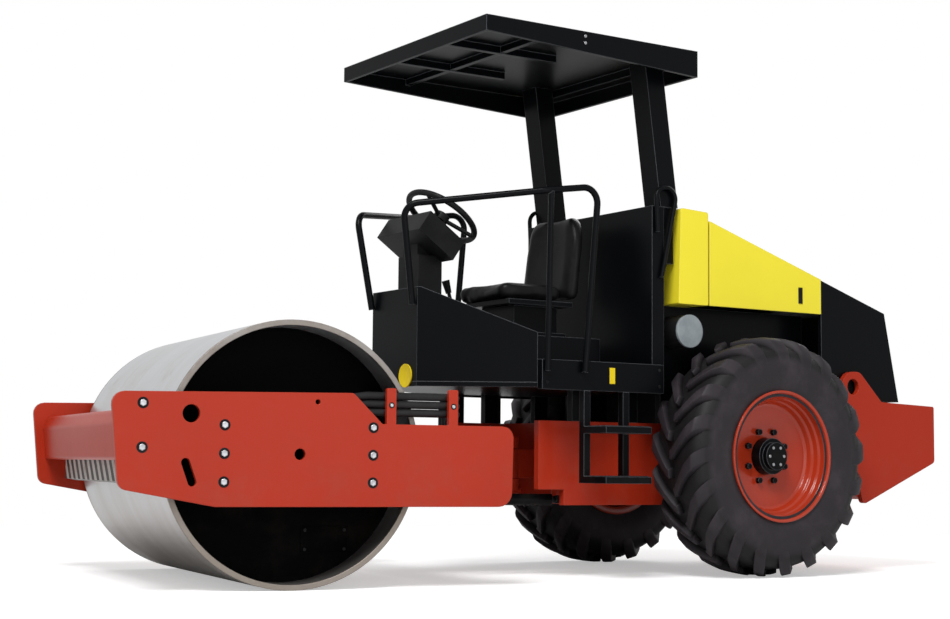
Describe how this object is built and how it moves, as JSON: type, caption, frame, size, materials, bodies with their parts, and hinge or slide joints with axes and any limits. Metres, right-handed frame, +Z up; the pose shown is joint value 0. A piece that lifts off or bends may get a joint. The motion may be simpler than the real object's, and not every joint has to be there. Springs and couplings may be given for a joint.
{
  "type": "single-drum soil roller",
  "caption": "Articulated single-drum soil roller with a smooth steel drum, lugged rear tyres, an open platform with a seat, and a canopy on posts.",
  "frame": {"origin": "on the ground, straight under the steering hitch pin", "axes": "+X forward along the rear half, +Y to the machine's left, +Z up"},
  "size_m": [5.0331, 2.1539, 2.7598],
  "materials": {
    "red_paint": "gloss",
    "yellow_paint": "gloss",
    "black_paint": "satin",
    "drum_steel": "satin",
    "tyre": "matte",
    "rubber": "matte",
    "hose_rubber": "satin",
    "engine_iron": "matte",
    "grey_plastic": "matte",
    "black_plastic": "satin",
    "seat_vinyl": "satin",
    "chrome_rod": "polished"
  },
  "bodies": {
    "tractor": {"rear_frame": "red_paint", "rear_axle": "black_paint", "counterweight": "red_paint", "engine_block": "engine_iron", "bay_walls": "black_paint", "radiator": "engine_iron", "tank_cover": "yellow_paint", "air_filter": "grey_plastic", "deck": "black_paint", "nose_panels": "black_paint", "rear_wall": "black_paint", "seat_base": "black_paint", "seat_cushion": "seat_vinyl", "seat_back": "seat_vinyl", "console": "black_plastic", "steering_wheel": "black_plastic", "drive_lever": "black_plastic", "handrails": "black_paint", "grab_handles": "black_paint", "steps": "black_paint", "canopy_posts": "black_paint", "canopy": "black_paint"},
    "front": {"side_plates": "red_paint", "front_beam": "red_paint", "scraper_bar": "black_paint", "rear_beam": "red_paint", "hitch_yoke": "red_paint", "drum_hoses": "hose_rubber", "drum_carriers": "black_paint", "rubber_mounts": "rubber"},
    "drum": {"drum_shell": "drum_steel", "drum_heads": "black_paint"},
    "wheel_left": {"tyre_left": "tyre", "rim_left": "red_paint", "hub_left": "black_paint"},
    "wheel_right": {"tyre_right": "tyre", "rim_right": "red_paint", "hub_right": "black_paint"},
    "hood_lid": {"hood": "yellow_paint", "rear_housing": "black_paint"},
    "ram_left": {"cylinder_left": "black_paint"},
    "ram_right": {"cylinder_right": "black_paint"},
    "ram_rod_left": {"rod_left": "chrome_rod"},
    "ram_rod_right": {"rod_right": "chrome_rod"}
  },
  "joints": [
    {"name": "steer", "type": "hinge", "parent": "tractor", "child": "front", "pos_m": [0, 0, 0.58], "axis": [0, 0, 1], "range_deg": [-29, 47]},
    {"name": "drum_spin", "type": "hinge", "parent": "front", "child": "drum", "pos_m": [1.40252, -0.22214, 0.61], "axis": [0.1564, 0.9877, 0], "continuous": true},
    {"name": "wheel_left_spin", "type": "hinge", "parent": "tractor", "child": "wheel_left", "pos_m": [-1.21, 0.696, 0.6325], "axis": [0, 1, 0], "continuous": true},
    {"name": "wheel_right_spin", "type": "hinge", "parent": "tractor", "child": "wheel_right", "pos_m": [-1.21, -0.696, 0.6325], "axis": [0, 1, 0], "continuous": true},
    {"name": "hood_open", "type": "hinge", "parent": "tractor", "child": "hood_lid", "pos_m": [-0.977, 0, 1.9], "axis": [0, 1, 0], "range_deg": [0, 55]},
    {"name": "ram_left_swing", "type": "hinge", "parent": "tractor", "child": "ram_left", "pos_m": [-0.22, 0.24, 0.395], "axis": [0, 0, 1], "range_deg": [-21.96, 35.28]},
    {"name": "ram_left_stroke", "type": "slide", "parent": "ram_left", "child": "ram_rod_left", "axis": [0.9872, -0.1594, 0], "range_m": [-0.1875, 0.1176]},
    {"name": "ram_right_swing", "type": "hinge", "parent": "tractor", "child": "ram_right", "pos_m": [-0.22, -0.24, 0.395], "axis": [0, 0, 1], "range_deg": [-21.96, 35.28]},
    {"name": "ram_right_stroke", "type": "slide", "parent": "ram_right", "child": "ram_rod_right", "axis": [0.9977, -0.0679, 0], "range_m": [-0.1176, 0.1875]}
  ],
  "couplings": [
    {"joint": "ram_left_swing", "follows": "steer", "ratio": 0.74},
    {"joint": "ram_left_stroke", "follows": "steer", "m_per_rad": -0.2225},
    {"joint": "ram_right_swing", "follows": "steer", "ratio": 0.74},
    {"joint": "ram_right_stroke", "follows": "steer", "m_per_rad": 0.2225}
  ]
}
